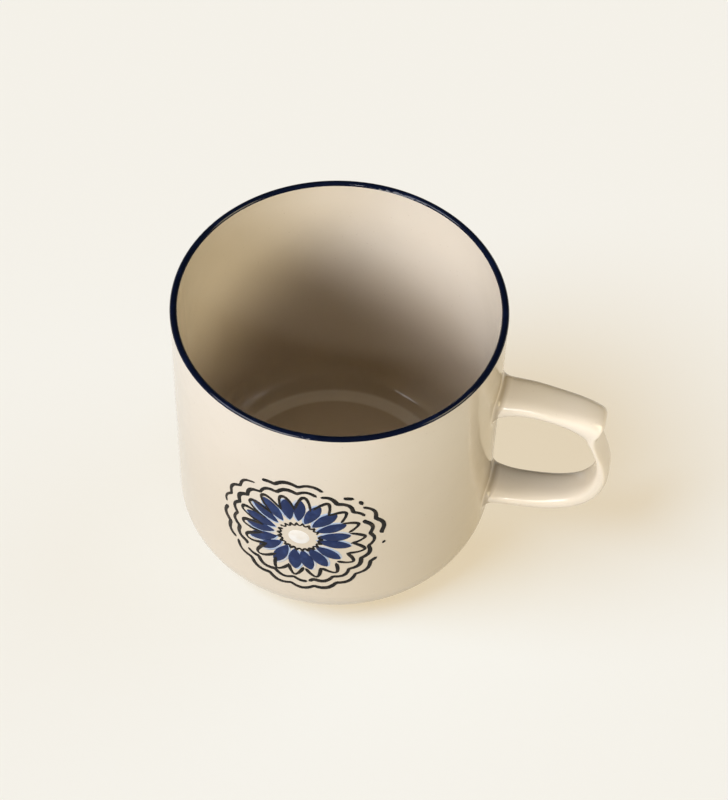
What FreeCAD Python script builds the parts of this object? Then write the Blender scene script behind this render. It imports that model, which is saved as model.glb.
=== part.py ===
import FreeCAD, Part

import math
import os

import Sketcher
from FreeCAD import Vector

# A stoneware mug, in millimetres. The cup stands on its foot ring at Z = 0 with its axis on Z, and the
# handle points along +X. The handle is stuck to the finished cup with slip, and a band of cobalt glaze
# lies in a shallow rebate round the lip.

# ---------------------------------------------------------------------------------------------
# Driving dimensions: alias, value, and what it is
# ---------------------------------------------------------------------------------------------

CUP_SIZES = [
    ("cup_height", 86.6, "foot to the top of the lip"),
    ("lower_radius", 44.4, "outside radius where the wall meets the rounded corner"),
    ("wall_lean", 0.6, "how much wider the cup is at the lip"),
    ("rim_radius", "=lower_radius + wall_lean", "outside radius of the cup at the lip"),
    ("corner_radius", 12.0, "rounding between wall and underside"),
    ("lip_thickness", 2.0, "wall at the lip, rounded over its full thickness"),
    ("wall_thickness", 3.2, "wall above the rounded corner"),
    ("inner_corner_radius", 8.5, "rounding between wall and floor inside"),
    ("floor_thickness", 3.8, "floor of the cup over the recess"),
    ("foot_height", 1.6, "foot ring under the rounded corner"),
    ("foot_radius", 33.2, "outside radius of the foot ring"),
    ("foot_width", 4.2, "width of the face that the cup stands on"),
    ("foot_edge", 0.5, "softened edges of the foot ring"),
    ("band_thickness", 0.35, "thickness of the cobalt glaze in its rebate"),
    ("band_start", 17.0, "degrees up round the lip, from its outermost line, where the band starts"),
    ("band_span", 147.0, "degrees that the band runs over the lip from there"),
]

HANDLE_SIZES = [
    ("root_width", 12.4, "width of the strap at the cup"),
    ("grip_width", 10.0, "width of the strap at the back of the loop"),
    ("fullness", 2.8, "exponent of the strap's section: 2 is an ellipse, more is fuller"),
    ("grip_reach", 13.0, "middle of the finger gap, outward from the lower wall"),
    ("grip_level", 41.0, "middle of the finger gap, above the foot"),
    ("root_flare", 1.2, "how much each side of the strap spreads where it meets the cup"),
    ("flare_length", 2.5, "how far out from the wall the spread dies away"),
    ("slip_thickness", 0.4, "layer of slip between the cup and each root"),
]

# The handle's outline in its middle plane: each point has a reach, outward from the lower wall, and a
# level above the foot. The outer outline runs over the thumb rest and the inner one round the finger
# gap. Both start and end inside the cup, where the wall trims them.
OUTER_OUTLINE = [
    ("top_root", -9.0, 67.0),
    ("top_neck", 2.0, 63.9),
    ("top_crest", 7.6, 64.0),
    ("top_slope", 17.0, 62.9),
    ("rest_top", 27.6, 60.5),
    ("rest_tip", 29.8, 58.7),
    ("rest_under", 29.0, 56.4),
    ("notch", 28.4, 53.0),
    ("back", 31.0, 45.0),
    ("bulge", 32.8, 36.0),
    ("heel", 28.4, 25.4),
    ("sole", 14.0, 19.0),
    ("low_neck", 3.0, 18.6),
    ("low_root", -9.0, 16.0),
]
INNER_OUTLINE = [
    ("under_root", -6.0, 52.0),
    ("under_neck", 2.6, 58.0),
    ("under_crest", 9.0, 59.5),
    ("under_slope", 18.6, 57.4),
    ("inside_turn", 26.0, 51.4),
    ("inside_back", 28.8, 41.0),
    ("inside_heel", 25.0, 29.2),
    ("inside_sole", 13.0, 24.0),
    ("inside_neck", 3.0, 23.2),
    ("inside_root", -6.0, 27.0),
]

# How finely the handle's sections are laid, in degrees round the finger gap
SECTION_STEP = 8.0
REST_STEP = 3.0
REST_SPREAD = 12.0
SECTION_POINTS = 16

# Straight cuts of the turning tool that make the rebate for the band
REBATE_CUTS = 3

# How far cutting shapes stand clear of what they cut
CUT_MARGIN = 1.0


def outline_rows(outline):
    """A reach and a level for each point of an outline."""
    rows = []
    for name, reach, level in outline:
        words = name.replace("_", " ")
        rows.append((name + "_reach", reach, words + ", outward from the lower wall"))
        rows.append((name + "_level", level, words + ", above the foot"))
    return rows


def fill_sheet(sheet, rows):
    """One row for each size: what it is, and its value under its alias."""
    for row, (alias, value, note) in enumerate(rows, start=1):
        sheet.set("A%d" % row, note)
        sheet.set("B%d" % row, str(value))
        sheet.setAlias("B%d" % row, alias)


doc = FreeCAD.newDocument("stoneware_mug")
sheet = doc.addObject("Spreadsheet::Sheet", "Sizes")
fill_sheet(sheet, CUP_SIZES + HANDLE_SIZES + outline_rows(OUTER_OUTLINE) + outline_rows(INNER_OUTLINE))
doc.recompute()


def size(alias):
    """The value that the sheet holds for a size."""
    return float(sheet.get(alias))


# ---------------------------------------------------------------------------------------------
# Sketch helpers
# ---------------------------------------------------------------------------------------------

START, END, CENTRE = range(1, 4)
ORIGIN_POINT = (-1, START)
HORIZONTAL_AXIS, VERTICAL_AXIS = range(-1, -3, -1)


def new_body(name):
    body = doc.addObject("PartDesign::Body", name)
    body.Label = name
    return body


def section_sketch(body, name):
    """A sketch on the body's own XZ plane: across is the radius, up is the height."""
    sketch = body.newObject("Sketcher::SketchObject", name)
    plane = [feature for feature in body.Origin.OriginFeatures if feature.Role == "XZ_Plane"][0]
    sketch.AttachmentSupport = [(plane, "")]
    sketch.MapMode = "FlatFace"
    return sketch


def add_line(sketch, start, end):
    return sketch.addGeometry(Part.LineSegment(Vector(*start, 0), Vector(*end, 0)), False)


def add_arc(sketch, centre, radius, start_degrees, end_degrees):
    circle = Part.Circle(Vector(*centre, 0), Vector(0, 0, 1), radius)
    arc = Part.ArcOfCircle(circle, math.radians(start_degrees), math.radians(end_degrees))
    return sketch.addGeometry(arc, False)


def join(sketch, first, second):
    """Two ends (geometry, point) meet."""
    sketch.addConstraint(Sketcher.Constraint("Coincident", *first, *second))


def join_smoothly(sketch, first, second):
    """Two ends (geometry, point) meet in one direction."""
    sketch.addConstraint(Sketcher.Constraint("Tangent", *first, *second))


def level(sketch, *lines):
    for line in lines:
        sketch.addConstraint(Sketcher.Constraint("Horizontal", line))


def upright(sketch, *lines):
    for line in lines:
        sketch.addConstraint(Sketcher.Constraint("Vertical", line))


def bind(sketch, kind, where, value, expression):
    """A dimension that follows the sheet: its first value only lets the solver start close."""
    index = sketch.addConstraint(Sketcher.Constraint(kind, *where, value))
    sketch.setExpression("Constraints[%d]" % index, expression)


def bind_point(sketch, point, place, across, up):
    """Radius and height of a point follow the sheet."""
    bind(sketch, "DistanceX", ORIGIN_POINT + point, place[0], across)
    bind(sketch, "DistanceY", ORIGIN_POINT + point, place[1], up)


def revolve(body, sketch, name):
    """A full turn about Z. Its seam line lies opposite the handle."""
    revolution = body.newObject("PartDesign::Revolution", name)
    revolution.Profile = sketch
    revolution.ReferenceAxis = (sketch, ["V_Axis"])
    revolution.Angle = 360.0
    revolution.Midplane = True
    body.Tip = revolution
    return revolution


# ---------------------------------------------------------------------------------------------
# Cup
# ---------------------------------------------------------------------------------------------

LIP_ACROSS = "Sizes.rim_radius - Sizes.lip_thickness / 2"
LIP_UP = "Sizes.cup_height - Sizes.lip_thickness / 2"

lip_radius = size("lip_thickness") / 2
lip_centre = (size("rim_radius") - lip_radius, size("cup_height") - lip_radius)
floor_level = size("foot_height") + size("floor_thickness")
corner_centre = (
    size("lower_radius") - size("corner_radius"),
    size("foot_height") + size("corner_radius"),
)
inner_corner_centre = (
    size("lower_radius") - size("wall_thickness") - size("inner_corner_radius"),
    floor_level + size("inner_corner_radius"),
)


def add_outer_outline(sketch):
    """Foot ring, rounded corner and leaning wall. Gives the first and last of its lines."""
    foot_inner = size("foot_radius") - size("foot_width")
    foot_height = size("foot_height")
    foot_angle = -math.degrees(math.acos((size("foot_radius") - corner_centre[0]) / size("corner_radius")))
    foot_top = corner_centre[1] + size("corner_radius") * math.sin(math.radians(foot_angle))

    recess = add_line(sketch, (0, foot_height), (foot_inner, foot_height))
    foot_inside = add_line(sketch, (foot_inner, foot_height), (foot_inner, 0))
    foot_face = add_line(sketch, (foot_inner, 0), (size("foot_radius"), 0))
    foot_outside = add_line(sketch, (size("foot_radius"), 0), (size("foot_radius"), foot_top))
    corner = add_arc(sketch, corner_centre, size("corner_radius"), foot_angle, 0)
    wall = add_line(
        sketch, (size("lower_radius"), corner_centre[1]), (size("rim_radius"), lip_centre[1])
    )

    level(sketch, recess, foot_face)
    upright(sketch, foot_inside, foot_outside)
    join(sketch, (recess, END), (foot_inside, START))
    join(sketch, (foot_inside, END), (foot_face, START))
    join(sketch, (foot_face, END), (foot_outside, START))
    join(sketch, (foot_outside, END), (corner, START))
    join_smoothly(sketch, (corner, END), (wall, START))

    sketch.addConstraint(Sketcher.Constraint("PointOnObject", recess, START, VERTICAL_AXIS))
    sketch.addConstraint(Sketcher.Constraint("PointOnObject", foot_face, START, HORIZONTAL_AXIS))
    bind(sketch, "DistanceY", ORIGIN_POINT + (recess, START), foot_height, "Sizes.foot_height")
    bind(sketch, "DistanceX", ORIGIN_POINT + (foot_face, END), size("foot_radius"), "Sizes.foot_radius")
    bind(
        sketch, "DistanceX", (foot_face, START, foot_face, END), size("foot_width"), "Sizes.foot_width"
    )
    bind(sketch, "Radius", (corner,), size("corner_radius"), "Sizes.corner_radius")
    bind_point(
        sketch,
        (corner, CENTRE),
        corner_centre,
        "Sizes.lower_radius - Sizes.corner_radius",
        "Sizes.foot_height + Sizes.corner_radius",
    )
    return recess, wall


def add_lip(sketch, wall):
    """The rounded lip, which the wall runs into without a crease."""
    lip = add_arc(sketch, lip_centre, lip_radius, 0, 180)
    join_smoothly(sketch, (wall, END), (lip, START))
    bind(sketch, "Radius", (lip,), lip_radius, "Sizes.lip_thickness / 2")
    bind_point(sketch, (lip, CENTRE), lip_centre, LIP_ACROSS, LIP_UP)
    return lip


def add_inner_outline(sketch, lip, recess):
    """Inner wall, inner corner and floor, closed along the axis."""
    inner_radius = size("inner_corner_radius")
    wall_foot = (inner_corner_centre[0] + inner_radius, inner_corner_centre[1])
    wall = add_line(sketch, (lip_centre[0] - lip_radius, lip_centre[1]), wall_foot)
    corner = add_arc(sketch, inner_corner_centre, inner_radius, -90, 0)
    floor = add_line(sketch, (inner_corner_centre[0], floor_level), (0, floor_level))
    axis = add_line(sketch, (0, floor_level), (0, size("foot_height")))

    join_smoothly(sketch, (lip, END), (wall, START))
    join_smoothly(sketch, (wall, END), (corner, END))
    join_smoothly(sketch, (corner, START), (floor, START))
    join(sketch, (floor, END), (axis, START))
    join(sketch, (axis, END), (recess, START))
    upright(sketch, axis)
    bind(sketch, "Radius", (corner,), inner_radius, "Sizes.inner_corner_radius")
    bind_point(
        sketch,
        (corner, CENTRE),
        inner_corner_centre,
        "Sizes.lower_radius - Sizes.wall_thickness - Sizes.inner_corner_radius",
        "Sizes.foot_height + Sizes.floor_thickness + Sizes.inner_corner_radius",
    )


def soften_foot(body, revolution):
    """Break both edges of the face that the cup stands on."""
    doc.recompute()
    edges = []
    for number, edge in enumerate(revolution.Shape.Edges, start=1):
        if edge.BoundBox.ZMax < size("foot_edge") / 2:
            edges.append("Edge%d" % number)
    chamfer = body.newObject("PartDesign::Chamfer", "foot_softening")
    chamfer.Base = (revolution, edges)
    chamfer.setExpression("Size", "Sizes.foot_edge")
    body.Tip = chamfer


def make_cup_blank():
    """The jiggered cup before the rebate for the band is turned into its lip."""
    body = new_body("cup_blank")
    sketch = section_sketch(body, "cup_section")
    recess, wall = add_outer_outline(sketch)
    lip = add_lip(sketch, wall)
    add_inner_outline(sketch, lip, recess)
    soften_foot(body, revolve(body, sketch, "cup_turning"))
    return body


def make_cup_envelope():
    """The outside of the cup as a full solid, which trims the roots of the handle."""
    body = new_body("cup_envelope")
    sketch = section_sketch(body, "envelope_section")
    recess, wall = add_outer_outline(sketch)
    top = add_line(sketch, (size("rim_radius"), lip_centre[1]), (0, lip_centre[1]))
    axis = add_line(sketch, (0, lip_centre[1]), (0, size("foot_height")))
    level(sketch, top)
    upright(sketch, axis)
    join(sketch, (wall, END), (top, START))
    join(sketch, (top, END), (axis, START))
    join(sketch, (axis, END), (recess, START))
    bind_point(
        sketch, (wall, END), (size("rim_radius"), lip_centre[1]), "Sizes.rim_radius", LIP_UP
    )
    revolve(body, sketch, "envelope_turning")
    return body


def add_chords(sketch, radius, expression):
    """Straight cuts round the lip's centre, at that radius, from one edge of the band to the other."""
    corners, turns = [], []
    for index in range(REBATE_CUTS + 1):
        share = index / REBATE_CUTS
        degrees = size("band_start") + size("band_span") * share
        turn = math.radians(degrees)
        corners.append((lip_centre[0] + radius * math.cos(turn), lip_centre[1] + radius * math.sin(turn)))
        turns.append("(Sizes.band_start + Sizes.band_span * %r) * 1 deg" % share)
    chords = [add_line(sketch, start, end) for start, end in zip(corners, corners[1:])]
    for before, after in zip(chords, chords[1:]):
        join(sketch, (before, END), (after, START))
    ends = [(chord, START) for chord in chords] + [(chords[-1], END)]
    for end, corner, turn in zip(ends, corners, turns):
        across = "%s + (%s) * cos(%s)" % (LIP_ACROSS, expression, turn)
        up = "%s + (%s) * sin(%s)" % (LIP_UP, expression, turn)
        bind_point(sketch, end, corner, across, up)
    return ends[0], ends[-1], corners[0], corners[-1]


def make_band_zone():
    """The ring that the band fills: cut into the lip on its inner side, clear of it outside."""
    body = new_body("band_zone")
    sketch = section_sketch(body, "band_section")
    rebate = add_chords(
        sketch, lip_radius - size("band_thickness"), "Sizes.lip_thickness / 2 - Sizes.band_thickness"
    )
    clear = add_chords(sketch, lip_radius + CUT_MARGIN, "Sizes.lip_thickness / 2 + %s" % CUT_MARGIN)
    first_side = add_line(sketch, rebate[2], clear[2])
    last_side = add_line(sketch, rebate[3], clear[3])
    join(sketch, rebate[0], (first_side, START))
    join(sketch, clear[0], (first_side, END))
    join(sketch, rebate[1], (last_side, START))
    join(sketch, clear[1], (last_side, END))
    revolve(body, sketch, "band_turning")
    return body


cup_blank = make_cup_blank()
cup_envelope = make_cup_envelope()
band_zone = make_band_zone()
doc.recompute()

cup_body = doc.addObject("Part::Cut", "cup_body")
cup_body.Label = "cup_body"
cup_body.Base = cup_blank
cup_body.Tool = band_zone

rim_band = doc.addObject("Part::Common", "rim_band")
rim_band.Label = "rim_band"
rim_band.Base = cup_blank
rim_band.Tool = band_zone
doc.recompute()

# ---------------------------------------------------------------------------------------------
# Handle
# ---------------------------------------------------------------------------------------------

# Sections stand round this line through the finger gap, and rays from it find the outlines
GRIP_AXIS = Vector(size("lower_radius") + size("grip_reach"), 0, size("grip_level"))
RAY_LENGTH = size("cup_height")


def outline_curve(outline):
    """A smooth curve through the named points, in the handle's middle plane."""
    points = []
    for name, _, _ in outline:
        reach = size("lower_radius") + size(name + "_reach")
        points.append(Vector(reach, 0, size(name + "_level")))
    curve = Part.BSplineCurve()
    curve.interpolate(Points=points)
    return curve


def distance_along(curve, degrees):
    """From the middle of the finger gap to the curve, in a direction turned up from +X."""
    turn = math.radians(degrees)
    direction = Vector(math.cos(turn), 0, math.sin(turn))
    ray = Part.Edge(Part.LineSegment(GRIP_AXIS, GRIP_AXIS + direction * RAY_LENGTH))
    _, pairs, _ = curve.toShape().distToShape(ray)
    return max((pair[0] - GRIP_AXIS).Length for pair in pairs)


def direction_of(name):
    """The direction, in degrees, in which an outline point lies from the middle of the gap."""
    across = size("lower_radius") + size(name + "_reach") - GRIP_AXIS.x
    up = size(name + "_level") - GRIP_AXIS.z
    return math.degrees(math.atan2(up, across))


def section_directions():
    """Even steps from the lower root round to the upper one, closer together at the thumb rest."""
    wall = size("lower_radius") - GRIP_AXIS.x
    first = math.degrees(math.atan2(size("inside_root_level") - GRIP_AXIS.z, wall - CUT_MARGIN))
    last = math.degrees(math.atan2(size("under_root_level") - GRIP_AXIS.z, wall - CUT_MARGIN))
    rest = direction_of("rest_tip")
    rest_start, rest_end = rest - REST_SPREAD, rest + REST_SPREAD
    directions = []
    for start, end, step in (
        (first, rest_start, SECTION_STEP),
        (rest_start, rest_end, REST_STEP),
        (rest_end, last, SECTION_STEP),
    ):
        count = max(1, round((end - start) / step))
        directions += [start + (end - start) * index / count for index in range(count)]
    return directions + [last]


def signed_power(value, power):
    return math.copysign(abs(value) ** power, value)


def section_wire(degrees, inner, outer, width):
    """One full-edged oval section, standing in the plane of its direction."""
    turn = math.radians(degrees)
    direction = Vector(math.cos(turn), 0, math.sin(turn))
    middle = GRIP_AXIS + direction * ((inner + outer) / 2)
    power = 2 / size("fullness")
    points = []
    shares = [index / SECTION_POINTS for index in range(SECTION_POINTS + 1)]
    for turned in shares[:-1]:
        angle = 2 * math.pi * turned
        along = -signed_power(math.cos(angle), power) * (outer - inner) / 2
        aside = signed_power(math.sin(angle), power) * width / 2
        points.append(middle + direction * along + Vector(0, aside, 0))
    curve = Part.BSplineCurve()
    curve.interpolate(Points=points, PeriodicFlag=True, Parameters=shares)
    return Part.Wire([curve.toShape()])


def handle_loft():
    """The strap as one skin over its sections, closed at both ends inside the cup."""
    outer_curve = outline_curve(OUTER_OUTLINE)
    inner_curve = outline_curve(INNER_OUTLINE)
    directions = section_directions()
    root_share = 1 - math.cos(math.radians(directions[-1]))
    wires = []
    for degrees in directions:
        share = (1 - math.cos(math.radians(degrees))) / root_share
        inner = distance_along(inner_curve, degrees)
        outer = distance_along(outer_curve, degrees)
        middle = GRIP_AXIS.x + math.cos(math.radians(degrees)) * (inner + outer) / 2
        clear = max(0, middle - size("lower_radius"))
        flare = 2 * size("root_flare") * math.exp(-clear / size("flare_length"))
        width = size("grip_width") + (size("root_width") - size("grip_width")) * share + flare
        wires.append(section_wire(degrees, inner, outer, width))
    return Part.makeLoft(wires, True, False)


handle_form = doc.addObject("Part::Feature", "handle_form")
handle_form.Label = "handle_form"
handle_form.Shape = handle_loft()

# The wall's own cone, moved out by the layer of slip
SLOPE = "(Sizes.rim_radius - Sizes.lower_radius) / (%s - Sizes.foot_height - Sizes.corner_radius)" % LIP_UP
slip_cone = doc.addObject("Part::Cone", "slip_cone")
slip_cone.Label = "slip_cone"
slip_cone.setExpression("Height", LIP_UP)
slip_cone.setExpression(
    "Radius1",
    "Sizes.lower_radius + Sizes.slip_thickness - (Sizes.foot_height + Sizes.corner_radius) * %s" % SLOPE,
)
slip_cone.setExpression("Radius2", "Sizes.rim_radius + Sizes.slip_thickness")
slip_cone.Placement = FreeCAD.Placement(Vector(0, 0, 0), FreeCAD.Rotation(Vector(0, 0, 1), 180))

handle = doc.addObject("Part::Cut", "handle")
handle.Label = "handle"
handle.Base = handle_form
handle.Tool = slip_cone

roots = doc.addObject("Part::Common", "roots")
roots.Label = "roots"
roots.Base = handle_form
roots.Tool = slip_cone

slip = doc.addObject("Part::Cut", "slip")
slip.Label = "slip"
slip.Base = roots
slip.Tool = cup_envelope
doc.recompute()


# ---------------------------------------------------------------------------------------------
# Slip seams
# ---------------------------------------------------------------------------------------------


def slip_seam(name, is_mine):
    """The layer of slip that one root of the handle is pressed into."""
    layer = [solid for solid in slip.Shape.Solids if is_mine(solid.BoundBox.Center.z)]
    seam = doc.addObject("Part::Feature", name)
    seam.Label = name
    seam.Shape = layer[0]
    return seam


grip_level = size("grip_level")
upper_slip_seam = slip_seam("upper_slip_seam", lambda level: level > grip_level)
lower_slip_seam = slip_seam("lower_slip_seam", lambda level: level < grip_level)

# ---------------------------------------------------------------------------------------------
# Check and write
# ---------------------------------------------------------------------------------------------

SUB_PARTS = (cup_body, rim_band, handle, upper_slip_seam, lower_slip_seam)

for thing in doc.Objects:
    if "Invalid" in thing.State or "Error" in thing.State:
        raise RuntimeError("%s failed: %s" % (thing.Name, thing.State))
for part in SUB_PARTS:
    if part.Shape.isNull() or not part.Shape.isValid() or len(part.Shape.Solids) != 1:
        raise RuntimeError("%s is not one valid solid" % part.Label)

os.makedirs("parts", exist_ok=True)
for part in SUB_PARTS:
    part.Shape.exportStep("parts/%s.step" % part.Label)
    print(part.Label, round(part.Shape.Volume, 1), "cubic millimetres")
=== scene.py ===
import math
import random

import bpy
from mathutils import Matrix, Vector
from mathutils.bvhtree import BVHTree


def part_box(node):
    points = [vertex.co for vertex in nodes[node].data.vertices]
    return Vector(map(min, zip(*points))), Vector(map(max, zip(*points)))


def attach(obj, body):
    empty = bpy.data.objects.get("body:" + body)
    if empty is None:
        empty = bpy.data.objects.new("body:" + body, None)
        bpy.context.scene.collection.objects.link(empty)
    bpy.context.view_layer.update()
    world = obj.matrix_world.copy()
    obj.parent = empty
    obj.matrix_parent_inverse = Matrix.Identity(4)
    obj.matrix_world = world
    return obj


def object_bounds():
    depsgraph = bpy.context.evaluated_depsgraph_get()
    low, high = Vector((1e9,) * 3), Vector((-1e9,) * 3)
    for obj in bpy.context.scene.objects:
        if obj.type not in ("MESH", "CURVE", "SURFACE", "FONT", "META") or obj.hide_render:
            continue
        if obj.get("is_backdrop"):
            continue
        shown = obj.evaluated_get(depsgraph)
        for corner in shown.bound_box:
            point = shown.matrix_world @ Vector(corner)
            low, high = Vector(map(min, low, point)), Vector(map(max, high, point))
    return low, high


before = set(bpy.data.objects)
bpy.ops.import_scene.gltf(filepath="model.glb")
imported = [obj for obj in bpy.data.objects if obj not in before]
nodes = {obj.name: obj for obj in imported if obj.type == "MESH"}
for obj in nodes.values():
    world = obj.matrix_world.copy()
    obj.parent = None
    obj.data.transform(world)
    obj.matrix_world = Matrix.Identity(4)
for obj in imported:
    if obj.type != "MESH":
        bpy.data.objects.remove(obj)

# %% [markdown]
# # A stoneware mug with a painted rosette
#
# The CAD model gives the mug as five pieces: the turned cup, the strap handle, a layer of slip under
# each end of the handle, and the band of cobalt glaze on the lip. Here they get their glazes, the wall
# gets its brush-painted rosette, and the mug is set on a pale table under soft studio light.
#
# Everything is in metres in the CAD's own frame: Z is up, the foot stands on Z = 0, and the handle
# points along +X. The painter's side of the wall, with the rosette, faces -Y.

# %% [markdown]
# ## Step 1. Measure what the CAD gives
#
# The height and the radius of the cup come from the boxes of its nodes. They could be typed in again,
# but then the painting wouldn't follow if the mug changed. The floor inside has no box of its own: it
# is flat out to a little under three quarters of the cup's radius, where the rounded corner begins.

# %% Measure the cup
MM = 0.001
FLOOR_SHARE = 0.727
lowest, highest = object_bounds()
CAD_BOUNDS = [list(lowest), list(highest)]

band_low, band_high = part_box("rim_band")
grip_low, grip_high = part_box("handle")
CUP_HEIGHT = band_high[2]
CUP_RADIUS = -band_low[0]
FLOOR_RADIUS = FLOOR_SHARE * CUP_RADIUS
print(f"cup {CUP_HEIGHT / MM:.1f} mm high, {2 * CUP_RADIUS / MM:.1f} mm across the lip")
print(f"handle reaches {grip_high[0] / MM:.1f} mm from the axis")
print(f"handle stands from {grip_low[2] / MM:.1f} to {grip_high[2] / MM:.1f} mm up")

# %% [markdown]
# ## Step 2. Small helpers for node materials
#
# A glaze is a few nodes wired together. That could be done by hand in the shader editor, where nobody
# can read it as a recipe. These helpers keep each material short, so that what is left to read is
# which noise drives which property. The last one files a mesh as a piece of the mug.

# %% Node helpers


def add_node(tree, kind, inputs=None, **settings):
    """A node with its settings and its unlinked input values."""
    node = tree.nodes.new(kind)
    for name, value in settings.items():
        setattr(node, name, value)
    for socket, value in (inputs or {}).items():
        node.inputs[socket].default_value = value
    return node


def link(tree, source, output, target, socket):
    """Wires one node to another, both sockets by name."""
    tree.links.new(source.outputs[output], target.inputs[socket])


def new_material(name):
    """A material with an empty tree, its shader and its output."""
    material = bpy.data.materials.new(name)
    material.use_nodes = True
    tree = material.node_tree
    tree.nodes.clear()
    shader = add_node(tree, "ShaderNodeBsdfPrincipled")
    output = add_node(tree, "ShaderNodeOutputMaterial")
    link(tree, shader, "BSDF", output, "Surface")
    return material, tree, shader


def math_node(tree, operation, first, second=None, clamp=False):
    """One arithmetic step. Each term is a number or an output socket."""
    node = add_node(tree, "ShaderNodeMath", operation=operation, use_clamp=clamp)
    for index, term in enumerate((first, second)):
        if term is None:
            continue
        if isinstance(term, (int, float)):
            node.inputs[index].default_value = term
        else:
            tree.links.new(term, node.inputs[index])
    return node.outputs[0]


def mix_colour(tree, factor, first, second):
    """Between two colours. The factor is a socket, and each colour a tuple or a socket."""
    node = add_node(tree, "ShaderNodeMix", data_type="RGBA")
    tree.links.new(factor, node.inputs["Factor"])
    for socket, colour in (("A", first), ("B", second)):
        target = [s for s in node.inputs if s.name == socket and s.type == "RGBA"][0]
        if isinstance(colour, tuple):
            target.default_value = (*colour, 1.0)
        else:
            tree.links.new(colour, target)
    return [s for s in node.outputs if s.type == "RGBA"][0]


def ramp_value(tree, value, low, high):
    """0 at low, 1 at high and smooth between. With low over high, it falls."""
    node = add_node(
        tree,
        "ShaderNodeMapRange",
        {"From Min": low, "From Max": high},
        interpolation_type="SMOOTHSTEP",
    )
    tree.links.new(value, node.inputs["Value"])
    return node.outputs["Result"]


# %% Piece helper


def add_piece(name, vertices, faces, material):
    """A smooth piece that rides on the mug, with its glaze. Gives back its mesh."""
    mesh = bpy.data.meshes.new(name)
    mesh.from_pydata(vertices, [], faces)
    mesh.materials.append(material)
    mesh.shade_smooth()
    piece = bpy.data.objects.new(name, mesh)
    bpy.context.scene.collection.objects.link(piece)
    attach(piece, "root")
    return mesh


# %% [markdown]
# ## Step 3. The skin that all the glazes share
#
# Glaze melts into a glassy skin. It isn't a mirror: it keeps a slight long swell from the wet clay
# under it, and a very fine orange-peel. Each material could have a bump of its own, but they all came
# out of one firing, so they share one node group. It gives a normal and a roughness, and the shaders
# stay in the materials.

# %% Glaze skin group


def make_skin_group():
    """Swell and orange-peel: gives Normal and Roughness."""
    group = bpy.data.node_groups.new("glaze_skin", "ShaderNodeTree")
    group.interface.new_socket("Roughness Base", in_out="INPUT", socket_type="NodeSocketFloat")
    group.interface.new_socket("Peel", in_out="INPUT", socket_type="NodeSocketFloat")
    group.interface.new_socket("Normal", in_out="OUTPUT", socket_type="NodeSocketVector")
    group.interface.new_socket("Roughness", in_out="OUTPUT", socket_type="NodeSocketFloat")
    given = add_node(group, "NodeGroupInput")
    result = add_node(group, "NodeGroupOutput")
    place = add_node(group, "ShaderNodeTexCoord")

    swell = add_node(group, "ShaderNodeTexNoise", {"Scale": 55.0, "Detail": 2.0})
    peel = add_node(group, "ShaderNodeTexNoise", {"Scale": 900.0, "Detail": 2.0})
    patches = add_node(group, "ShaderNodeTexNoise", {"Scale": 120.0, "Detail": 3.0})
    for texture in (swell, peel, patches):
        link(group, place, "Object", texture, "Vector")

    swell_bump = add_node(group, "ShaderNodeBump", {"Strength": 0.22, "Distance": 0.0012})
    link(group, swell, "Fac", swell_bump, "Height")
    peel_bump = add_node(group, "ShaderNodeBump", {"Distance": 0.00006})
    link(group, given, "Peel", peel_bump, "Strength")
    link(group, peel, "Fac", peel_bump, "Height")
    link(group, swell_bump, "Normal", peel_bump, "Normal")
    link(group, peel_bump, "Normal", result, "Normal")

    spread = math_node(group, "SUBTRACT", patches.outputs["Fac"], 0.5)
    spread = math_node(group, "MULTIPLY", spread, 0.08)
    rough = math_node(group, "ADD", given.outputs["Roughness Base"], spread, clamp=True)
    group.links.new(rough, result.inputs["Roughness"])
    return group


SKIN = make_skin_group()
print("skin group", SKIN.name)


def wear_skin(tree, shader, roughness, peel):
    """Runs a shader's normal and roughness from the shared skin."""
    skin = add_node(tree, "ShaderNodeGroup", node_tree=SKIN)
    skin.inputs["Roughness Base"].default_value = roughness
    skin.inputs["Peel"].default_value = peel
    link(tree, skin, "Normal", shader, "Normal")
    link(tree, skin, "Roughness", shader, "Roughness")
    return skin


# %% [markdown]
# ## Step 4. The cream glaze
#
# The cup and the handle are dipped in a cream glaze over a greyish clay. Its colour is painted darker
# towards the bottom, as shade: a little on the outer wall, and most of all inside the cup and on the
# rounded corner over the foot, where the light doesn't reach. In the corner round the floor inside, a
# paler ring is painted in as a reflection. Fine iron specks burn through here and there. The ring that
# the mug stands on is wiped clean before firing, so there the bare clay shows.
#
# Each of these could be a material of its own on its own faces, with a hard edge between. A glaze has
# no such edges, so one material reads where a point is, by its height and its distance from the axis,
# and fades from one colour to the next. Between inside and outside it changes half way through the
# clay, where nothing shows.

# %% Cream glaze colours
CREAM = (0.80, 0.725, 0.615)
# A deeper cream: for random clouds, and as painted shade low on the outer wall.
CREAM_DEEP_AND_SHADE = (0.70, 0.615, 0.49)
# Painted shade inside the cup, and on the low rounded corner outside.
CREAM_INSIDE_SHADE = (0.62, 0.53, 0.41)
# Painted reflection in the ring round the floor inside.
RING_REFLECTION = (0.88, 0.81, 0.71)
# Glaze pooled in the handle's corners, darkened further as painted shade.
POOL_AND_SHADE = (0.40, 0.33, 0.235)
SPECK = (0.33, 0.24, 0.15)
CLAY = (0.50, 0.42, 0.33)

# %% Where the shade is painted, inside the cup
MID_WALL = (CUP_RADIUS - 1.6 * MM, CUP_RADIUS - 2.4 * MM)
MID_FLOOR = (4.2 * MM, 4.8 * MM)
RING_INNER_EDGE = (FLOOR_RADIUS - 2.6 * MM, FLOOR_RADIUS - 1.5 * MM)
RING_OUTER_EDGE = (FLOOR_RADIUS + 2.5 * MM, FLOOR_RADIUS + 1.4 * MM)


def from_axis(tree, apart):
    """How far a point lies from the mug's axis."""
    squares = [math_node(tree, "POWER", apart.outputs[axis], 2.0) for axis in ("X", "Y")]
    return math_node(tree, "SQRT", math_node(tree, "ADD", *squares))


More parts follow.
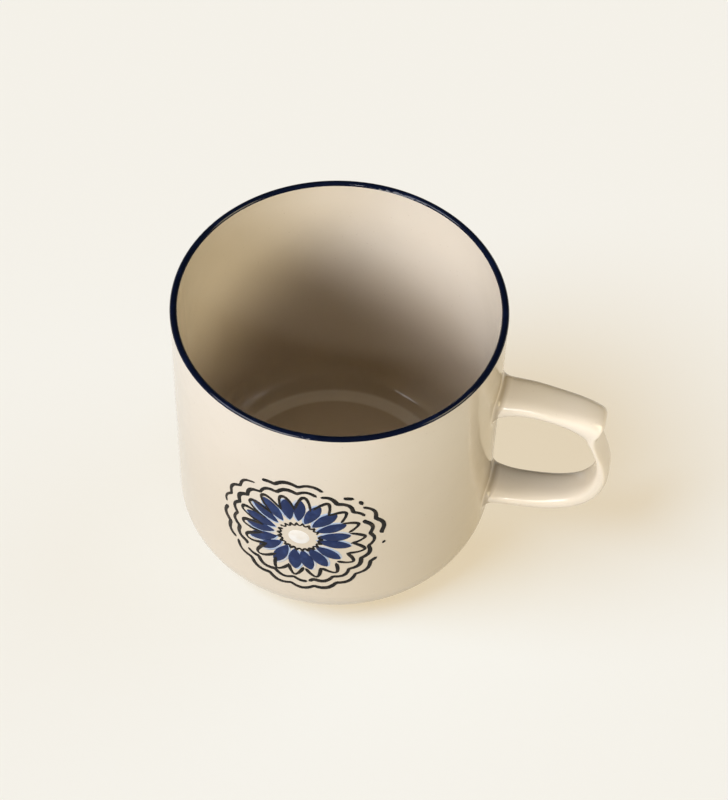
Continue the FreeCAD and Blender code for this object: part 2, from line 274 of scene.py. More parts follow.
def inner_shade_mask(tree, radius, level):
    """1 inside the cup and outside on the low rounded corner, 0 on the wall above and the foot."""
    within_wall = ramp_value(tree, radius, *MID_WALL)
    return math_node(tree, "MULTIPLY", within_wall, ramp_value(tree, level, *MID_FLOOR))


def reflection_ring_mask(tree, radius, inner_shade):
    """1 in the ring where the floor inside turns up into the wall."""
    past_inner_edge = ramp_value(tree, radius, *RING_INNER_EDGE)
    before_outer_edge = ramp_value(tree, radius, *RING_OUTER_EDGE)
    ring = math_node(tree, "MULTIPLY", past_inner_edge, before_outer_edge)
    return math_node(tree, "MULTIPLY", ring, inner_shade)


# %% Cream glaze recipe
CLOUD_RANGE = (0.35, 0.75)
CLOUD_AMOUNT = 0.30
LOW_SHADE_LEVELS = (CUP_HEIGHT, 0.35 * CUP_HEIGHT)
LOW_SHADE_AMOUNT = 0.9
INSIDE_SHADE_LEVELS = (0.8 * CUP_HEIGHT, 0.3 * CUP_HEIGHT)
SPECK_RANGE = (0.72, 0.80)
SPECK_AMOUNT = 0.2
BARE_LEVELS = (1.0 * MM, 0.7 * MM)
DRY_CLAY = 0.7


def cream_glaze(name, with_pool_and_shade):
    """The glaze on everything. With pool and shade it darkens where the mesh says: pooling and painted
    shade.
    """
    material, tree, shader = new_material(name)
    place = add_node(tree, "ShaderNodeTexCoord")
    apart = add_node(tree, "ShaderNodeSeparateXYZ")
    link(tree, place, "Object", apart, "Vector")
    level = apart.outputs["Z"]
    radius = from_axis(tree, apart)
    inner_shade = inner_shade_mask(tree, radius, level)

    cloud = add_node(tree, "ShaderNodeTexNoise", {"Scale": 38.0, "Detail": 3.0})
    link(tree, place, "Object", cloud, "Vector")
    cloudy = ramp_value(tree, cloud.outputs["Fac"], *CLOUD_RANGE)
    cloudy = math_node(tree, "MULTIPLY", cloudy, CLOUD_AMOUNT)
    colour = mix_colour(tree, cloudy, CREAM, CREAM_DEEP_AND_SHADE)

    # Painted shade: the outer wall darkens towards the bottom.
    low_shade_ramp = ramp_value(tree, level, *LOW_SHADE_LEVELS)
    outside = math_node(tree, "SUBTRACT", LOW_SHADE_AMOUNT, inner_shade, clamp=True)
    colour = mix_colour(tree, math_node(tree, "MULTIPLY", low_shade_ramp, outside), colour, CREAM_DEEP_AND_SHADE)

    # Painted shade: inside the cup and on the low outer corner, darker towards the bottom.
    inside_shade_ramp = ramp_value(tree, level, *INSIDE_SHADE_LEVELS)
    colour = mix_colour(tree, math_node(tree, "MULTIPLY", inner_shade, inside_shade_ramp), colour, CREAM_INSIDE_SHADE)
    # Painted reflection: a paler ring where the floor inside turns up into the wall.
    colour = mix_colour(tree, reflection_ring_mask(tree, radius, inner_shade), colour, RING_REFLECTION)
    # Glaze pooling and painted shade where the handle meets the wall, read from the mesh.
    if with_pool_and_shade:
        pool_shade_node = add_node(tree, "ShaderNodeAttribute", attribute_name="corner_pool_shade")
        colour = mix_colour(tree, pool_shade_node.outputs["Fac"], colour, POOL_AND_SHADE)

    specks = add_node(tree, "ShaderNodeTexNoise", {"Scale": 1500.0, "Detail": 1.0})
    link(tree, place, "Object", specks, "Vector")
    sparse = ramp_value(tree, specks.outputs["Fac"], *SPECK_RANGE)
    colour = mix_colour(tree, math_node(tree, "MULTIPLY", sparse, SPECK_AMOUNT), colour, SPECK)

    bare = ramp_value(tree, level, *BARE_LEVELS)
    colour = mix_colour(tree, bare, colour, CLAY)
    tree.links.new(colour, shader.inputs["Base Color"])

    skin = wear_skin(tree, shader, 0.10, 0.2)
    dry = math_node(tree, "MULTIPLY", bare, DRY_CLAY)
    rough = math_node(tree, "ADD", skin.outputs["Roughness"], dry, clamp=True)
    tree.links.new(rough, shader.inputs["Roughness"])
    shader.inputs["IOR"].default_value = 1.5
    return material


CREAM_GLAZE = cream_glaze("cream_glaze", False)
POOL_AND_SHADE_GLAZE = cream_glaze("pool_and_shade_glaze", True)
print("cream glazes", CREAM_GLAZE.name, POOL_AND_SHADE_GLAZE.name)

# %% [markdown]
# ## Step 5. The cobalt band
#
# The lip is drawn round with a loaded brush of cobalt while the mug turns on a banding wheel, and it
# fires to a navy that is almost black. It could be a mask on the cream by height, but the CAD gives
# the band a body of its own, so the band's edge is a real one. The brush leaves the cobalt thinner and
# bluer in patches.

# %% Cobalt band
COBALT = (0.004, 0.007, 0.022)
COBALT_THIN = (0.010, 0.020, 0.070)
THIN_RANGE = (0.5, 0.8)
THIN_AMOUNT = 0.5


def cobalt_glaze():
    """The band's glaze: navy, bluer where noise makes it thin."""
    material, tree, shader = new_material("cobalt_glaze")
    place = add_node(tree, "ShaderNodeTexCoord")
    cloud = add_node(tree, "ShaderNodeTexNoise", {"Scale": 180.0, "Detail": 3.0})
    link(tree, place, "Object", cloud, "Vector")
    thin = ramp_value(tree, cloud.outputs["Fac"], *THIN_RANGE)
    colour = mix_colour(tree, math_node(tree, "MULTIPLY", thin, THIN_AMOUNT), COBALT, COBALT_THIN)
    tree.links.new(colour, shader.inputs["Base Color"])
    shader.inputs["Specular IOR Level"].default_value = 0.3
    wear_skin(tree, shader, 0.12, 0.2)
    return material


COBALT_GLAZE = cobalt_glaze()
print("band glaze", COBALT_GLAZE.name)

# %% [markdown]
# ## Step 6. The slip seams
#
# The handle is stuck on with slip, which is the same clay made runny. Next to nothing of its edge
# shows, because the cream glaze covers it, so a clay colour with a grain is enough, and it needs no
# recipe of its own for painted shade or specks.

# %% Slip seams
SEAM = (0.60, 0.51, 0.39)


def slip_seam():
    """Grainy clay under a thin glaze."""
    material, tree, shader = new_material("stoneware")
    place = add_node(tree, "ShaderNodeTexCoord")
    grain = add_node(tree, "ShaderNodeTexNoise", {"Scale": 600.0, "Detail": 4.0})
    link(tree, place, "Object", grain, "Vector")
    colour = mix_colour(tree, grain.outputs["Fac"], SEAM, CREAM_DEEP_AND_SHADE)
    tree.links.new(colour, shader.inputs["Base Color"])
    wear_skin(tree, shader, 0.2, 0.4)
    return material


SLIP_SEAM = slip_seam()
print("seam", SLIP_SEAM.name)

# %% [markdown]
# ## Step 7. Dress the CAD pieces
#
# The cup, the handle and the band could be built again here as finer meshes, but the CAD's own are
# fine enough to show as they are. Each gets one glaze.

# %% Dress the nodes


def dress(node, material):
    """Gives a CAD node its one material."""
    mesh = nodes[node].data
    mesh.materials.clear()
    mesh.materials.append(material)


dress("cup_body", CREAM_GLAZE)
dress("handle", CREAM_GLAZE)
dress("rim_band", COBALT_GLAZE)
dress("upper_slip_seam", SLIP_SEAM)
dress("lower_slip_seam", SLIP_SEAM)
print("dressed", ", ".join(sorted(nodes)))

# %% [markdown]
# ## Step 8. Glaze in the corners
#
# Where the handle meets the wall, wet glaze runs into the corner and fires to a smooth hollow, a
# little fuller below each root, where it sagged. This skin hides the slip seam. A bevel can't make it,
# because the handle and the cup are two meshes, so it is swept round the root: at each turn it leaves
# the strap, bends through the corner, and lands on the wall. Half way, deep in the corner, its colour is
# darkest, for the glaze that pools there and for painted shade: each point of the mesh carries how
# dark, for the material to read.

# %% Trees for rays


def ray_tree(thing):
    """A node's mesh in the world, ready for rays."""
    mesh = thing.data
    corners = [thing.matrix_world @ vertex.co for vertex in mesh.vertices]
    return BVHTree.FromPolygons(corners, [tuple(face.vertices) for face in mesh.polygons])


WALL = ray_tree(nodes["cup_body"])
STRAP = ray_tree(nodes["handle"])
RAY_START = 2 * CUP_RADIUS


def wall_radius(level):
    """Outside radius of the cup at a level."""
    hit = WALL.ray_cast(Vector((-RAY_START, 0, level)), Vector((1, 0, 0)))[0]
    return -hit.x


# %% Find the strap near the wall
LONGEST_RAY = 12 * MM
NEAREST = CUP_RADIUS - 1.2 * MM
FARTHEST = CUP_RADIUS + 9 * MM
HALVINGS = 24


def strap_point(x, turn, level):
    """Where a ray from inside the strap, in the plane at x, leaves it."""
    start = Vector((x, 0, level))
    return STRAP.ray_cast(start, Vector((0, math.cos(turn), math.sin(turn))), LONGEST_RAY)[0]


def strap_point_off_wall(gap, turn, level):
    """The strap's surface point, at that turn, that stands off the wall by the gap."""
    near, far = NEAREST, FARTHEST
    for _ in range(HALVINGS):
        middle = (near + far) / 2
        point = strap_point(middle, turn, level)
        if point is None or math.hypot(point.x, point.y) - wall_radius(point.z) < gap:
            near = middle
        else:
            far = middle
    return strap_point(far, turn, level)


# %% Sweep the glaze round each root
ROOT_TURNS = 96
ROOT_STEPS = 10
STRAP_HALF = (6.2 * MM, 2.6 * MM)
CORNER_GAP = 0.46 * MM
ALONG_STRAP = 2.4 * MM
ALONG_WALL = 2.0 * MM
SAG = 0.7
SINK = 0.025 * MM


def on_cylinder(radius, turn, level):
    """The point at a radius from the mug's axis, a turn about it and a level."""
    return Vector((radius * math.cos(turn), radius * math.sin(turn), level))


def glaze_row(start, corner, along):
    """Points from the strap, through the corner, to the wall. Along leads round the root."""
    out = Vector((along.y, -along.x))
    radius = wall_radius(corner.z)
    bearing = math.atan2(corner.y, corner.x)
    bend = on_cylinder(radius, bearing, corner.z)
    reach = ALONG_WALL * (1 + SAG * max(0, -out.y))
    landing_level = corner.z + out.y * reach
    end = on_cylinder(
        wall_radius(landing_level) - SINK, bearing + out.x * reach / radius, landing_level
    )
    start = start - Vector((0, out.x, out.y)) * SINK
    row = []
    for step in range(ROOT_STEPS + 1):
        share = step / ROOT_STEPS
        row.append(start * (1 - share) ** 2 + bend * 2 * share * (1 - share) + end * share ** 2)
    return row


def root_glaze(name, level):
    """The glaze skin round one root, whose strap has its middle at that level."""
    corners, starts = [], []
    for index in range(ROOT_TURNS):
        angle = 2 * math.pi * index / ROOT_TURNS
        turn = math.atan2(STRAP_HALF[1] * math.sin(angle), STRAP_HALF[0] * math.cos(angle))
        corners.append(strap_point_off_wall(CORNER_GAP, turn, level))
        starts.append(strap_point_off_wall(CORNER_GAP + ALONG_STRAP, turn, level))
    vertices = []
    for index, corner in enumerate(corners):
        after = corners[(index + 2) % ROOT_TURNS]
        before = corners[index - 2]
        along = Vector((after.y - before.y, after.z - before.z)).normalized()
        vertices.extend(glaze_row(starts[index], corner, along))
    row = ROOT_STEPS + 1
    faces = []
    for index in range(ROOT_TURNS):
        first, second = index * row, (index + 1) % ROOT_TURNS * row
        for step in range(ROOT_STEPS):
            faces.append((first + step, first + step + 1, second + step + 1, second + step))
    mesh = add_piece(name, vertices, faces, POOL_AND_SHADE_GLAZE)
    # Darkest half way, in the corner: real pooling and painted shade together.
    corner_pool_shade = [math.sin(math.pi * step / ROOT_STEPS) ** 2 for step in range(row)] * ROOT_TURNS
    mesh.attributes.new("corner_pool_shade", "FLOAT", "POINT").data.foreach_set("value", corner_pool_shade)
    print(f"{name}: {len(faces)} faces")


def middle_level(node):
    """Half way up a node's box."""
    low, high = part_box(node)
    return (low[2] + high[2]) / 2


root_glaze("upper_root_glaze", middle_level("upper_slip_seam"))
root_glaze("lower_root_glaze", middle_level("lower_slip_seam"))

# %% [markdown]
# ## Step 9. Paint for the rosette
#
# The rosette is two paints over the cream, cobalt for the petals and iron black for the lines, with a
# drop of white glaze in the middle. A brush never lays paint evenly, so the blue is streaky, with a
# pale wash where water ran ahead of the pigment. The paints differ only in colour, streaks and gloss,
# so one function makes them all.

# %% Paints
PETAL_BLUE = (0.011, 0.025, 0.095)
PETAL_LIGHT = (0.024, 0.050, 0.165)
WASH = (0.40, 0.50, 0.68)
INK = (0.007, 0.006, 0.005)
INK_THIN = (0.045, 0.032, 0.022)
# White glaze, made near white as a painted highlight too.
WHITE_DOT_AND_GLINT = (0.90, 0.885, 0.85)
STREAK_RANGE = (0.45, 0.80)


def paint(name, full, thin, scale, roughness):
    """A brushed paint: the streaks are noise, from full to thin."""
    material, tree, shader = new_material(name)
    place = add_node(tree, "ShaderNodeTexCoord")
    streaks = add_node(tree, "ShaderNodeTexNoise", {"Scale": scale, "Detail": 4.0})
    link(tree, place, "Object", streaks, "Vector")
    amount = ramp_value(tree, streaks.outputs["Fac"], *STREAK_RANGE)
    tree.links.new(mix_colour(tree, amount, full, thin), shader.inputs["Base Color"])
    shader.inputs["Specular IOR Level"].default_value = 0.1
    wear_skin(tree, shader, roughness, 0.25)
    return material


COBALT_PAINT = paint("cobalt_paint", PETAL_BLUE, PETAL_LIGHT, 420.0, 0.16)
WASH_PAINT = paint("cobalt_wash", WASH, CREAM, 300.0, 0.16)
IRON_PAINT = paint("iron_paint", INK, INK_THIN, 500.0, 0.18)
# Painted highlight: the drop's near-white stands for its glint as well as for white glaze.
WHITE_GLAZE_AND_GLINT = paint("white_dot_and_glint", WHITE_DOT_AND_GLINT, CREAM, 200.0, 0.12)
print("paints", COBALT_PAINT.name, WASH_PAINT.name, IRON_PAINT.name, WHITE_GLAZE_AND_GLINT.name)

# %% [markdown]
# ## Step 10. Draw on a curved wall
#
# Each brush mark is laid out flat, in millimetres across and up from the middle of the rosette, and
# then wrapped: across becomes an arc round the cup, and a ray towards the axis finds the wall. The
# rosette could be a painted image instead, but it would need an image file and would have no body.
# Here each mark is a thin domed film, as a thick brush line is, and its edges go just under the
# glaze, so that no edge floats.

# %% Wrap flat drawing on to the wall
ROSETTE_TURN = math.radians(-90.4)
ROSETTE_LEVEL = 41.5 * MM
ROSETTE_STRETCH = 1.055
WALL_RADIUS = wall_radius(ROSETTE_LEVEL)


def on_wall(across, up, lift):
    """A flat point, in mm, laid on the wall and lifted off it."""
    turn = ROSETTE_TURN + across * MM / WALL_RADIUS
    level = ROSETTE_LEVEL + up * ROSETTE_STRETCH * MM
    outward = Vector((math.cos(turn), math.sin(turn), 0))
    start = outward * RAY_START + Vector((0, 0, level))
    hit = WALL.ray_cast(start, -outward)[0]
    return hit + outward * lift * MM


print(f"wall radius behind the rosette {WALL_RADIUS / MM:.2f} mm")

# %% Brush marks as domed films
SKIRT = -0.03
DOME = ((-1.0, 0.0), (-0.8, 0.5), (-0.4, 0.9), (0.0, 1.0), (0.4, 0.9), (0.8, 0.5), (1.0, 0.0))


def brush_mark(path, widths, layer):
    """Vertices and faces of one mark. The path is flat points, in mm, each with its full width. The
    layer is how high, in mm, the mark's edge and its middle stand over the wall."""
    edge, middle = layer
    profile = [(-1.0, SKIRT)]
    profile += [(offset, edge + (middle - edge) * share) for offset, share in DOME]
    profile += [(1.0, SKIRT)]
    vertices = []
    for index, (point, width) in enumerate(zip(path, widths)):
        before = path[max(index - 1, 0)]
        after = path[min(index + 1, len(path) - 1)]
        along = Vector((after[0] - before[0], after[1] - before[1])).normalized()
        side = Vector((-along.y, along.x)) * width / 2
        for offset, lift in profile:
            spot = Vector(point) + side * offset
            vertices.append(on_wall(spot.x, spot.y, lift))
    across = len(profile)
    faces = []
    for row in range(len(path) - 1):
        for column in range(across - 1):
            first = row * across + column
            faces.append((first, first + across, first + across + 1, first + 1))
    return vertices, faces


def rounded(widths, steps=3):
    """Narrows both ends of a mark to a soft tip."""
    result = list(widths)
    for index in range(min(steps, len(result) // 2)):
        share = math.sin(math.pi / 2 * (index + 0.25) / steps)
        result[index] *= share
        result[-1 - index] *= share
    return result


def make_piece(name, marks, material):
    """One piece from several marks."""
    vertices, faces = [], []
    for mark_vertices, mark_faces in marks:
        base = len(vertices)
        vertices.extend(mark_vertices)
        faces.extend(tuple(base + corner for corner in face) for face in mark_faces)
    add_piece(name, vertices, faces, material)
    print(f"{name}: {len(marks)} marks, {len(faces)} faces")


# %% [markdown]
# ## Step 11. The blue petals
#
# Eighteen strokes of cobalt stand round a pale middle. Each starts narrow near the middle, swells,
# and ends blunt. Turned copies of one petal would be quicker, and would look printed: a hand never
# repeats itself. So length, width and lean vary a little from stroke to stroke, always in the same
# way because the random seed is fixed.

# %% Petals
WASH_LAYER = (0.004, 0.010)
PETAL_LAYER = (0.014, 0.060)
PETALS = 18
PETAL_STEPS = 24
THINNEST = 0.06
PETAL_START = 6.1
PETAL_END = 15.3
PETAL_WIDTH = 3.6
PETAL_CENTRE = (-0.9, 0.6)
WASH_SPREAD = 0.75
WASH_SHIFT = 0.03
UNEVEN_TURN = 0.03
hand = random.Random(18)


def polar(centre, radius, angle):
    """The flat point at a radius and an angle from a centre."""
    return (centre[0] + radius * math.cos(angle), centre[1] + radius * math.sin(angle))


def petal_width(share):
    """How wide a petal is along its length, from 0 to 1: full towards its blunt outer end."""
    return math.sin(math.pi * share ** 1.15) ** 0.62


def petal(angle, lean, start, end, width, layer):
    """One stroke from start to end out from the middle, bending by lean."""
    path, widths = [], []
    for step in range(PETAL_STEPS + 1):
        share = step / PETAL_STEPS
        radius = start + (end - start) * share
        path.append(polar(PETAL_CENTRE, radius, angle + lean * share))
        widths.append(max(width * petal_width(share), THINNEST))
    return brush_mark(path, widths, layer)


def petal_angle(number):
    """Where a petal points, in radians, give or take an unsteady hand."""
    return 2 * math.pi * (number + 0.3) / PETALS + hand.uniform(-UNEVEN_TURN, UNEVEN_TURN)


petals, washes = [], []
for number in range(PETALS):
    angle = petal_angle(number)
    lean = hand.uniform(-0.06, 0.06)
    start = PETAL_START + hand.uniform(-0.3, 0.5)
    end = PETAL_END + hand.uniform(-0.6, 0.5)
    width = PETAL_WIDTH * hand.uniform(0.9, 1.06)
    petals.append(petal(angle, lean, start, end, width, PETAL_LAYER))
    wide = width + WASH_SPREAD
    washes.append(petal(angle + WASH_SHIFT, lean, start - 0.4, end + 0.2, wide, WASH_LAYER))

make_piece("rosette_wash", washes, WASH_PAINT)
make_piece("rosette_petals", petals, COBALT_PAINT)

# %% [markdown]
# ## Step 12. The black lines
#
# Over the blue come thin iron lines: a toothed ring round the middle, a pointed arch for each petal,
# and two wavy rings outside. The arches were drawn round their own middle, a little to the side of
# the blue, so on one side they hug the petals and on the other they stand clear, sharper and shorter.
# Each line could be a curve with a round bevel, but that would lie on the wall like a wire. A brush
# mark lies flat, and its width swells and thins by slow waves along the way.

# %% Lines drawn by hand
LINE_LAYER = (0.062, 0.095)


def wobble(angle, phase, amount):
    """How far a line drawn by hand strays, slowly, from its course."""
    slow = math.sin(2 * angle + phase) + 0.6 * math.sin(5 * angle + 2.3 * phase)
    return amount * slow


def pressure(angle, phase):
    """How much a stroke's width swells or thins at an angle."""
    return 1 + 0.14 * math.sin(7 * angle + phase) + 0.07 * math.sin(19 * angle)


def line(start, end, radius_at, width, centre, step=0.012):
    """A stroke round a centre, from angle start to angle end, with the pressure of a hand."""
    count = max(int((end - start) / step), 6)
    path, widths = [], []
    for index in range(count + 1):
        angle = start + (end - start) * index / count
        path.append(polar(centre, radius_at(angle), angle))
        widths.append(width * pressure(angle, start))
    return brush_mark(path, rounded(widths), LINE_LAYER)


# %% Arches over the petals
LINE_CENTRE = (0.35, -0.2)
LINE_WIDTH = 0.92
ARCH_VALLEY = 13.5
ARCH_TIP = 17.5
ARCH_STEPS = 30
SOFT_TIP = 0.10
HUG_SIDE = math.radians(165)


def arch(angle, half, valley, tip, fullness):
    """A pointed arch over one petal: up one side, round the tip and down the other."""
    path, widths = [], []
    for index in range(ARCH_STEPS + 1):
        share = 2 * index / ARCH_STEPS - 1
        away = (math.hypot(share, SOFT_TIP) - SOFT_TIP) / (math.hypot(1, SOFT_TIP) - SOFT_TIP)
        radius = valley + (tip - valley) * (1 - away ** fullness)
        path.append(polar(LINE_CENTRE, radius, angle + half * share))
        widths.append(LINE_WIDTH * (1 + 0.2 * math.sin(4 * share + angle)))
    return brush_mark(path, rounded(widths), LINE_LAYER)


arches = []
for number in range(PETALS):
    angle = petal_angle(number)
    hug = max(0, math.cos(angle - HUG_SIDE))
    half = math.pi / PETALS * hand.uniform(0.9, 1.0)
    valley = ARCH_VALLEY - 3.0 * hug + hand.uniform(-0.5, 0.4)
    tip = ARCH_TIP + hand.uniform(-0.45, 0.45)
    arches.append(arch(angle, half, valley, tip, 1.25 + 0.9 * hug))
make_piece("rosette_arches", arches, IRON_PAINT)

# %% Toothed ring round the middle
TEETH = 22
TOOTH_RADIUS = 5.2
TOOTH_HEIGHT = 1.1
TOOTH_WIDTH = 0.7


def toothed(angle):
    """Radius of the toothed ring: sharp outward teeth."""
    tooth = abs((angle * TEETH / (2 * math.pi)) % 1 - 0.5) * 2
    return TOOTH_RADIUS + TOOTH_HEIGHT * tooth ** 2.2 + wobble(angle, 0.7, 0.08)


middle_ring = [
    line(math.radians(-205), math.radians(18), toothed, TOOTH_WIDTH, (0, 0), step=0.02),
    line(math.radians(24), math.radians(150), toothed, TOOTH_WIDTH * 0.85, (0, 0), step=0.02),
]
make_piece("rosette_middle_ring", middle_ring, IRON_PAINT)

# %% Two wavy rings
WAVES = 21
INNER_RING = 19.5
OUTER_RING = 22.6
WAVE_HEIGHT = 1.25
RING_WIDTH = 1.15
RING_CENTRE = (0.2, 0.0)
INNER_PHASE = 0.4
OUTER_PHASE = 0.9


def wavy(mean, phase):
    """Radius of a wavy ring: round crests outward, tighter dips inward, like the edge of a cloud."""

    def radius(angle):
        crest = math.sqrt(math.cos((WAVES * angle + phase) / 2) ** 2 + 0.02)
        return mean + WAVE_HEIGHT * (crest - 0.65) + wobble(angle, phase, 0.16)

    return radius


def ring_strokes(mean, phase, strokes, width=RING_WIDTH):
    """A wavy ring as separate strokes, each given by its first and last angle in degrees."""
    marks = []
    for start, end in strokes:
        marks.append(line(math.radians(start), math.radians(end), wavy(mean, phase), width, RING_CENTRE))
    return marks


inner_strokes = [(-83, 27), (31, 74), (77, 113), (111, 216), (220, 276)]
inner_ring = ring_strokes(INNER_RING, INNER_PHASE, inner_strokes)
outer_ring = ring_strokes(OUTER_RING, OUTER_PHASE, [(-148, -23), (4, 41), (74, 118), (178, 210)])
outer_ring += ring_strokes(OUTER_RING, OUTER_PHASE, [(126, 174)], RING_WIDTH * 0.75)
dots = ring_strokes(OUTER_RING, OUTER_PHASE, [(-8, -5), (43, 48), (52, 59)])
make_piece("rosette_inner_ring", inner_ring, IRON_PAINT)
make_piece("rosette_outer_ring", outer_ring + dots, IRON_PAINT)

# %% [markdown]
# ## Step 13. The pale middle
#
# One fat drop of white glaze sits in the middle of the flower. Its near-white colour is partly a
# painted highlight. A flattened ball would do on a flat tile, but the wall is curved, so the drop is
# built from rings that are wrapped on to it.

# %% White drop
DROP_RADIUS = 3.0
DROP_HEIGHT = 0.22
DROP_CENTRE = (-0.2, 0.0)
DROP_RINGS = 8
DROP_SIDES = 40


def drop():
    """A domed drop, wrapped on the wall, with its edge just under the glaze."""
    vertices, faces = [on_wall(*DROP_CENTRE, DROP_HEIGHT)], []
    for ring_number in range(1, DROP_RINGS + 1):
        share = ring_number / DROP_RINGS
        lift = DROP_HEIGHT * math.sqrt(1 - share ** 2) + SKIRT * share
        for side in range(DROP_SIDES):
            spot = polar(DROP_CENTRE, DROP_RADIUS * share, 2 * math.pi * side / DROP_SIDES)
            vertices.append(on_wall(*spot, lift))
    for side in range(DROP_SIDES):
        after = (side + 1) % DROP_SIDES
        faces.append((0, 1 + side, 1 + after))
        for ring_number in range(DROP_RINGS - 1):
            near = 1 + ring_number * DROP_SIDES
            far = near + DROP_SIDES
            faces.append((near + side, far + side, far + after, near + after))
    return vertices, faces


make_piece("rosette_drop", [drop()], WHITE_GLAZE_AND_GLINT)

# %% [markdown]
# ## Step 14. The table
#
# A wide pale cream table under the mug, with no edge in sight. Its only job is to carry the shadow. A
# plain pale material would do, but its tone would change with every lamp. So to the camera, and in
# the glaze's reflections, it is a warm glow plus a thin coat that the table lamps light: where the
# mug blocks them, the warm glow is left, so the shadow is soft and warm. To all other rays it is a
# plain matt surface that bounces a little light up on to the mug.

# %% Table
BACKDROP = (0.913, 0.888, 0.823)
TABLE_COAT = (0.200, 0.305, 0.430)
TABLE_BOUNCE = (0.35, 0.33, 0.30)
TABLE_HALF = 4.0
TABLE_DROP = 0.02 * MM


def table_material():
    """A warm glow and a lit coat where it is looked at, and a matt surface for the mug's light."""
    material, tree, shader = new_material("table")
    shader.inputs["Base Color"].default_value = (*TABLE_BOUNCE, 1)
    shader.inputs["Roughness"].default_value = 0.9
    shader.inputs["Specular IOR Level"].default_value = 0.0
    under = [backdrop - coat for backdrop, coat in zip(BACKDROP, TABLE_COAT)]
    glow = add_node(tree, "ShaderNodeEmission", {"Color": (*under, 1)})
    coat = add_node(tree, "ShaderNodeBsdfDiffuse", {"Color": (*TABLE_COAT, 1)})
    seen = add_node(tree, "ShaderNodeAddShader")
    tree.links.new(glow.outputs["Emission"], seen.inputs[0])
    tree.links.new(coat.outputs["BSDF"], seen.inputs[1])
    ray = add_node(tree, "ShaderNodeLightPath")
    looked_at = math_node(tree, "MAXIMUM", ray.outputs["Is Camera Ray"], ray.outputs["Is Glossy Ray"])
    mix = add_node(tree, "ShaderNodeMixShader")
    tree.links.new(looked_at, mix.inputs["Fac"])
    tree.links.new(shader.outputs["BSDF"], mix.inputs[1])
    tree.links.new(seen.outputs["Shader"], mix.inputs[2])
    output = [node for node in tree.nodes if node.type == "OUTPUT_MATERIAL"][0]
    tree.links.new(mix.outputs["Shader"], output.inputs["Surface"])
    return material


def make_table():
    """A flat square, a hair under the foot, kept out of the part as a stage."""
    mesh = bpy.data.meshes.new("table")
    corners = [(x * TABLE_HALF, y * TABLE_HALF, 0) for x, y in ((-1, -1), (1, -1), (1, 1), (-1, 1))]
    mesh.from_pydata(corners, [], [(0, 1, 2, 3)])
    mesh.materials.append(table_material())
    thing = bpy.data.objects.new("table", mesh)
    bpy.context.scene.collection.objects.link(thing)
    thing.location.z = CAD_BOUNDS[0][2] - TABLE_DROP
    thing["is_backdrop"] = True
    return thing


table = make_table()
print(f"table {2 * TABLE_HALF:.0f} m wide")

# %% [markdown]
# ## Step 15. Light
#
# Soft lights, as in a small studio. Two keys stand low, on the left and nearly in front, so that they
# rake across the wall and reach over the near lip only to the upper part of the far wall: the inside
# of the mug falls off to dark, and shade painted into the glaze inside darkens it further. A warm fill
# stands low on the right, and a small window in front leaves its glints. None of them lights the table.
# They are wide suns and not area lamps, so their light is the same all over the mug and needs no
# distance.
#
# Two lamps light only the handle: one in front draws the pale lines along its shoulders, and a weak
# one on the right lifts the back of its grip. Two others light only the table: the strong one casts
# the soft shadow on the right, and a weak one behind it a hint of shadow on the left. The room is dim.

# %% Light
KEY = {"colour": (0.89, 0.90, 1.0), "power": 1.62, "turn": 218, "height": 35, "spread": 30}
LOW_KEY = {"colour": (1.0, 0.985, 0.945), "power": 1.90, "turn": 246, "height": 20, "spread": 30}
FILL = {"colour": (1.0, 0.86, 0.57), "power": 1.55, "turn": 352, "height": 29, "spread": 30}
WINDOW = {"colour": (1.0, 0.99, 1.0), "power": 0.20, "turn": 271, "height": 40, "spread": 4}
HANDLE_LAMP = {"colour": (0.85, 0.90, 1.0), "power": 0.95, "turn": 270, "height": 37, "spread": 24}
HANDLE_SIDE_LAMP = {"colour": (0.98, 0.97, 1.0), "power": 0.6, "turn": 335, "height": 10, "spread": 30}
TABLE_LAMP = {"colour": (1.0, 1.0, 1.0), "power": 3.3, "turn": 211, "height": 50, "spread": 38}
BACK_TABLE_LAMP = {"colour": (1.0, 1.0, 1.0), "power": 0.68, "turn": 32, "height": 48, "spread": 40}
ROOM_GLOW = (0.06, 0.05, 0.035)


def direction_from(turn, height):
    """The unit direction towards a turn about Z and a height over the horizon, in degrees."""
    turn, height = math.radians(turn), math.radians(height)
    flat = math.cos(height)
    return Vector((math.cos(turn) * flat, math.sin(turn) * flat, math.sin(height)))


def make_lamp(name, settings):
    """A far, wide lamp: its spread is how large it looks from the mug."""
    light = bpy.data.lights.new(name, "SUN")
    light.color = settings["colour"]
    light.energy = settings["power"]
    light.angle = math.radians(settings["spread"])
    lamp = bpy.data.objects.new(name, light)
    towards = direction_from(settings["turn"], settings["height"])
    lamp.location = towards
    lamp.rotation_euler = (-towards).to_track_quat("-Z", "Y").to_euler()
    bpy.context.scene.collection.objects.link(lamp)
    return lamp


def keep_to(lamp, things, included):
    """Lets a lamp light only these things, or all but these, as flags and barn doors do."""
    receivers = bpy.data.collections.new(lamp.name + "_receivers")
    for thing in things:
        receivers.objects.link(thing)
    for member in receivers.collection_objects:
        member.light_linking.link_state = "INCLUDE" if included else "EXCLUDE"
    lamp.light_linking.receiver_collection = receivers


for lamp_name, settings in (("key", KEY), ("low_key", LOW_KEY), ("fill", FILL), ("window", WINDOW)):
    keep_to(make_lamp(lamp_name, settings), [table], False)
for lamp_name, settings in (("table_lamp", TABLE_LAMP), ("back_table_lamp", BACK_TABLE_LAMP)):
    keep_to(make_lamp(lamp_name, settings), [table], True)
grip = [nodes[name] for name in ("handle", "upper_slip_seam", "lower_slip_seam")]
grip += [bpy.data.objects[name] for name in ("upper_root_glaze", "lower_root_glaze")]
for lamp_name, settings in (("handle_lamp", HANDLE_LAMP), ("handle_side_lamp", HANDLE_SIDE_LAMP)):
    keep_to(make_lamp(lamp_name, settings), grip, True)
print("lamps", ", ".join(sorted(light.name for light in bpy.data.lights)))

# %% Room


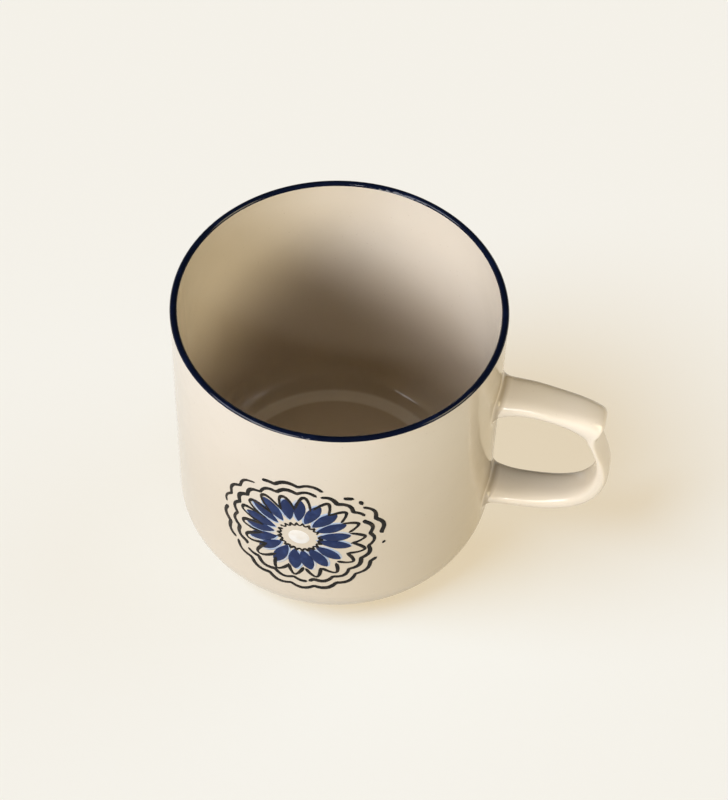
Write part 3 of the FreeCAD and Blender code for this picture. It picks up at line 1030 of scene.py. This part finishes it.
def make_room():
    """Warm along the horizon and dark overhead. The camera sees plain backdrop instead."""
    world = bpy.data.worlds.new("room")
    world.use_nodes = True
    tree = world.node_tree
    place = add_node(tree, "ShaderNodeTexCoord")
    apart = add_node(tree, "ShaderNodeSeparateXYZ")
    link(tree, place, "Generated", apart, "Vector")
    overhead = ramp_value(tree, apart.outputs["Z"], 0.2, 0.5)
    glow = mix_colour(tree, overhead, ROOM_GLOW, (0.0, 0.0, 0.0))
    ray = add_node(tree, "ShaderNodeLightPath")
    seen = mix_colour(tree, ray.outputs["Is Camera Ray"], glow, BACKDROP)
    tree.links.new(seen, tree.nodes["Background"].inputs["Color"])
    bpy.context.scene.world = world


make_room()
print("room", bpy.context.scene.world.name)
bpy.context.scene.view_settings.view_transform = "Standard"

# %% [markdown]
# ## Step 16. The camera
#
# The camera looks down on the mug at a little over fifty degrees, through a long lens, with a slight
# tilt of the head. It could track an empty, but a tracking camera can't be rolled, so its three axes
# are worked out here from the angles.

# %% Camera
CAMERA_TURN = math.radians(10.5)
CAMERA_DOWN = math.radians(52.25)
CAMERA_ROLL = math.radians(2.23)
CAMERA_AWAY = 0.7197
CAMERA_LENS = 117.0
AIM_ASIDE = 7.4 * MM
AIM_LEVEL = 45.9 * MM


def make_camera():
    """A camera that looks at a point beside the axis, rolled by a small angle."""
    flat = Vector((-math.sin(CAMERA_TURN), math.cos(CAMERA_TURN), 0))
    right = Vector((math.cos(CAMERA_TURN), math.sin(CAMERA_TURN), 0))
    forward = flat * math.cos(CAMERA_DOWN) - Vector((0, 0, math.sin(CAMERA_DOWN)))
    up = right.cross(forward)
    rolled_right = right * math.cos(CAMERA_ROLL) + up * math.sin(CAMERA_ROLL)
    rolled_up = up * math.cos(CAMERA_ROLL) - right * math.sin(CAMERA_ROLL)
    target = right * AIM_ASIDE + Vector((0, 0, AIM_LEVEL))
    place = target - forward * CAMERA_AWAY
    data = bpy.data.cameras.new("camera")
    data.lens = CAMERA_LENS
    camera = bpy.data.objects.new("camera", data)
    turn = Matrix((rolled_right, rolled_up, -forward)).transposed().to_4x4()
    camera.matrix_world = Matrix.Translation(place) @ turn
    bpy.context.scene.collection.objects.link(camera)
    bpy.context.scene.camera = camera
    print(f"camera {place.length:.3f} m from the foot's middle")


make_camera()

# %% [markdown]
# ## Step 17. Measure the finished size
#
# The glazes and the painting are thin, so the finished mug must still fill the very box that the CAD
# gave at the start. Here the finished box is measured again.

# %% Sizes
lowest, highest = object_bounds()
